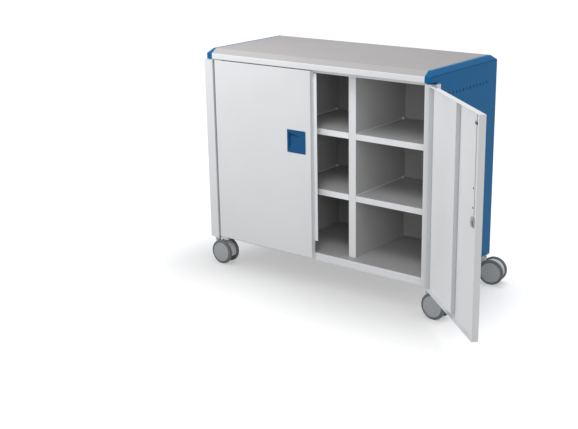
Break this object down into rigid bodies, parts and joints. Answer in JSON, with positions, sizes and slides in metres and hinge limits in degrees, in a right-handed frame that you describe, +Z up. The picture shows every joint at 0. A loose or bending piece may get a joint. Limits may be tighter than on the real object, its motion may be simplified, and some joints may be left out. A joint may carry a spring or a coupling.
{
  "type": "mobile storage cabinet",
  "caption": "Mobile steel storage cabinet on twin-wheel casters, with blue end panels, a bevelled worktop, hinged front doors and open shelf compartments.",
  "frame": {"origin": "on the floor under the middle of the bounding box, with the right door open as modelled", "axes": "+X to the right along the cabinet's width, +Y from front to back, +Z up"},
  "size_m": [1.6424, 0.9438, 1.0217],
  "materials": {
    "white_paint": "satin powder coat",
    "interior_paint": "matt powder coat",
    "grey_paint": "fine matt powder coat",
    "blue_paint": "satin powder coat",
    "blue_plastic": "semi-gloss moulded",
    "zinc": "zinc plated",
    "grey_plastic": "moulded nylon",
    "tyre_grey": "soft tread"
  },
  "bodies": {
    "cabinet": {"worktop": "grey_paint", "top_rail": "white_paint", "deck_pan": "white_paint", "back_liner": "interior_paint", "back_panel": "white_paint", "left_end_panel": "blue_paint", "left_side_liner": "interior_paint", "left_front_post": "white_paint", "left_upper_pivot_block": "zinc", "left_divider": "white_paint", "front_left_caster_socket": "zinc", "back_left_caster_socket": "zinc", "right_end_panel": "blue_paint", "right_side_liner": "interior_paint", "right_front_post": "white_paint", "right_upper_pivot_block": "zinc", "right_divider": "white_paint", "front_right_caster_socket": "zinc", "back_right_caster_socket": "zinc", "left_lower_shelf": "white_paint", "left_upper_shelf": "white_paint", "middle_lower_shelf": "white_paint", "middle_upper_shelf": "white_paint", "right_lower_shelf": "white_paint", "right_upper_shelf": "white_paint"},
    "left_door": {"left_door_pan": "white_paint", "left_door_liner": "white_paint", "left_door_stiffener": "white_paint", "left_door_handle": "blue_plastic", "left_upper_hinge_arm": "zinc", "left_lower_hinge_arm": "zinc", "left_door_astragal": "white_paint"},
    "right_door": {"right_door_pan": "white_paint", "right_door_liner": "white_paint", "right_door_stiffener": "white_paint", "right_door_handle": "blue_plastic", "right_upper_hinge_arm": "zinc", "right_lower_hinge_arm": "zinc", "lock_body": "zinc", "lock_rod_guide": "zinc"},
    "lock_cam": {"lock_cam": "zinc"},
    "lock_rod": {"lock_rod": "zinc"},
    "front_left_caster": {"front_left_caster_hood": "grey_plastic", "front_left_axle": "zinc"},
    "front_left_inner_wheel": {"front_left_inner_wheel": "tyre_grey"},
    "front_left_outer_wheel": {"front_left_outer_wheel": "tyre_grey"},
    "front_right_caster": {"front_right_caster_hood": "grey_plastic", "front_right_axle": "zinc"},
    "front_right_inner_wheel": {"front_right_inner_wheel": "tyre_grey"},
    "front_right_outer_wheel": {"front_right_outer_wheel": "tyre_grey"},
    "back_left_caster": {"back_left_caster_hood": "grey_plastic", "back_left_axle": "zinc"},
    "back_left_inner_wheel": {"back_left_inner_wheel": "tyre_grey"},
    "back_left_outer_wheel": {"back_left_outer_wheel": "tyre_grey"},
    "back_right_caster": {"back_right_caster_hood": "grey_plastic", "back_right_axle": "zinc"},
    "back_right_inner_wheel": {"back_right_inner_wheel": "tyre_grey"},
    "back_right_outer_wheel": {"back_right_outer_wheel": "tyre_grey"}
  },
  "joints": [
    {"name": "left_door_hinge", "type": "hinge", "parent": "cabinet", "child": "left_door", "pos_m": [-0.79702, -0.07936, 0.55], "axis": [0, 0, -1], "range_deg": [0, 180]},
    {"name": "right_door_hinge", "type": "hinge", "parent": "cabinet", "child": "right_door", "pos_m": [0.37388, -0.07936, 0.55], "axis": [0, 0, 1], "range_deg": [-139.4, 40.6]},
    {"name": "lock_turn", "type": "hinge", "parent": "right_door", "child": "lock_cam", "pos_m": [0.76787, -0.40651, 0.56795], "axis": [-0.6508, -0.7593, 0], "range_deg": [0, 90]},
    {"name": "lock_rod_lift", "type": "slide", "parent": "right_door", "child": "lock_rod", "axis": [0, 0, 1], "range_m": [0, 0.017]},
    {"name": "front_left_swivel", "type": "hinge", "parent": "cabinet", "child": "front_left_caster", "pos_m": [-0.79702, -0.06286, 0.1254], "axis": [0, 0, 1], "continuous": true},
    {"name": "front_left_inner_roll", "type": "hinge", "parent": "front_left_caster", "child": "front_left_inner_wheel", "pos_m": [-0.75443, -0.06211, 0.0573], "axis": [-0.0175, 0.9998, 0], "continuous": true},
    {"name": "front_left_outer_roll", "type": "hinge", "parent": "front_left_caster", "child": "front_left_outer_wheel", "pos_m": [-0.75443, -0.06211, 0.0573], "axis": [-0.0175, 0.9998, 0], "continuous": true},
    {"name": "front_right_swivel", "type": "hinge", "parent": "cabinet", "child": "front_right_caster", "pos_m": [0.37388, -0.06286, 0.1254], "axis": [0, 0, 1], "continuous": true},
    {"name": "front_right_inner_roll", "type": "hinge", "parent": "front_right_caster", "child": "front_right_inner_wheel", "pos_m": [0.41634, -0.06628, 0.0573], "axis": [0.0802, 0.9968, 0], "continuous": true},
    {"name": "front_right_outer_roll", "type": "hinge", "parent": "front_right_caster", "child": "front_right_outer_wheel", "pos_m": [0.41634, -0.06628, 0.0573], "axis": [0.0802, 0.9968, 0], "continuous": true},
    {"name": "back_left_swivel", "type": "hinge", "parent": "cabinet", "child": "back_left_caster", "pos_m": [-0.78797, 0.42064, 0.1254], "axis": [0, 0, 1], "continuous": true},
    {"name": "back_left_inner_roll", "type": "hinge", "parent": "back_left_caster", "child": "back_left_inner_wheel", "pos_m": [-0.7456, 0.4251, 0.0573], "axis": [-0.1045, 0.9945, 0], "continuous": true},
    {"name": "back_left_outer_roll", "type": "hinge", "parent": "back_left_caster", "child": "back_left_outer_wheel", "pos_m": [-0.7456, 0.4251, 0.0573], "axis": [-0.1045, 0.9945, 0], "continuous": true},
    {"name": "back_right_swivel", "type": "hinge", "parent": "cabinet", "child": "back_right_caster", "pos_m": [0.36483, 0.42064, 0.1254], "axis": [0, 0, 1], "continuous": true},
    {"name": "back_right_inner_roll", "type": "hinge", "parent": "back_right_caster", "child": "back_right_inner_wheel", "pos_m": [0.40678, 0.42804, 0.0573], "axis": [-0.1736, 0.9848, 0], "continuous": true},
    {"name": "back_right_outer_roll", "type": "hinge", "parent": "back_right_caster", "child": "back_right_outer_wheel", "pos_m": [0.40678, 0.42804, 0.0573], "axis": [-0.1736, 0.9848, 0], "continuous": true}
  ],
  "couplings": [
    {"joint": "lock_rod_lift", "follows": "lock_turn", "m_per_rad": 0.010804}
  ]
}
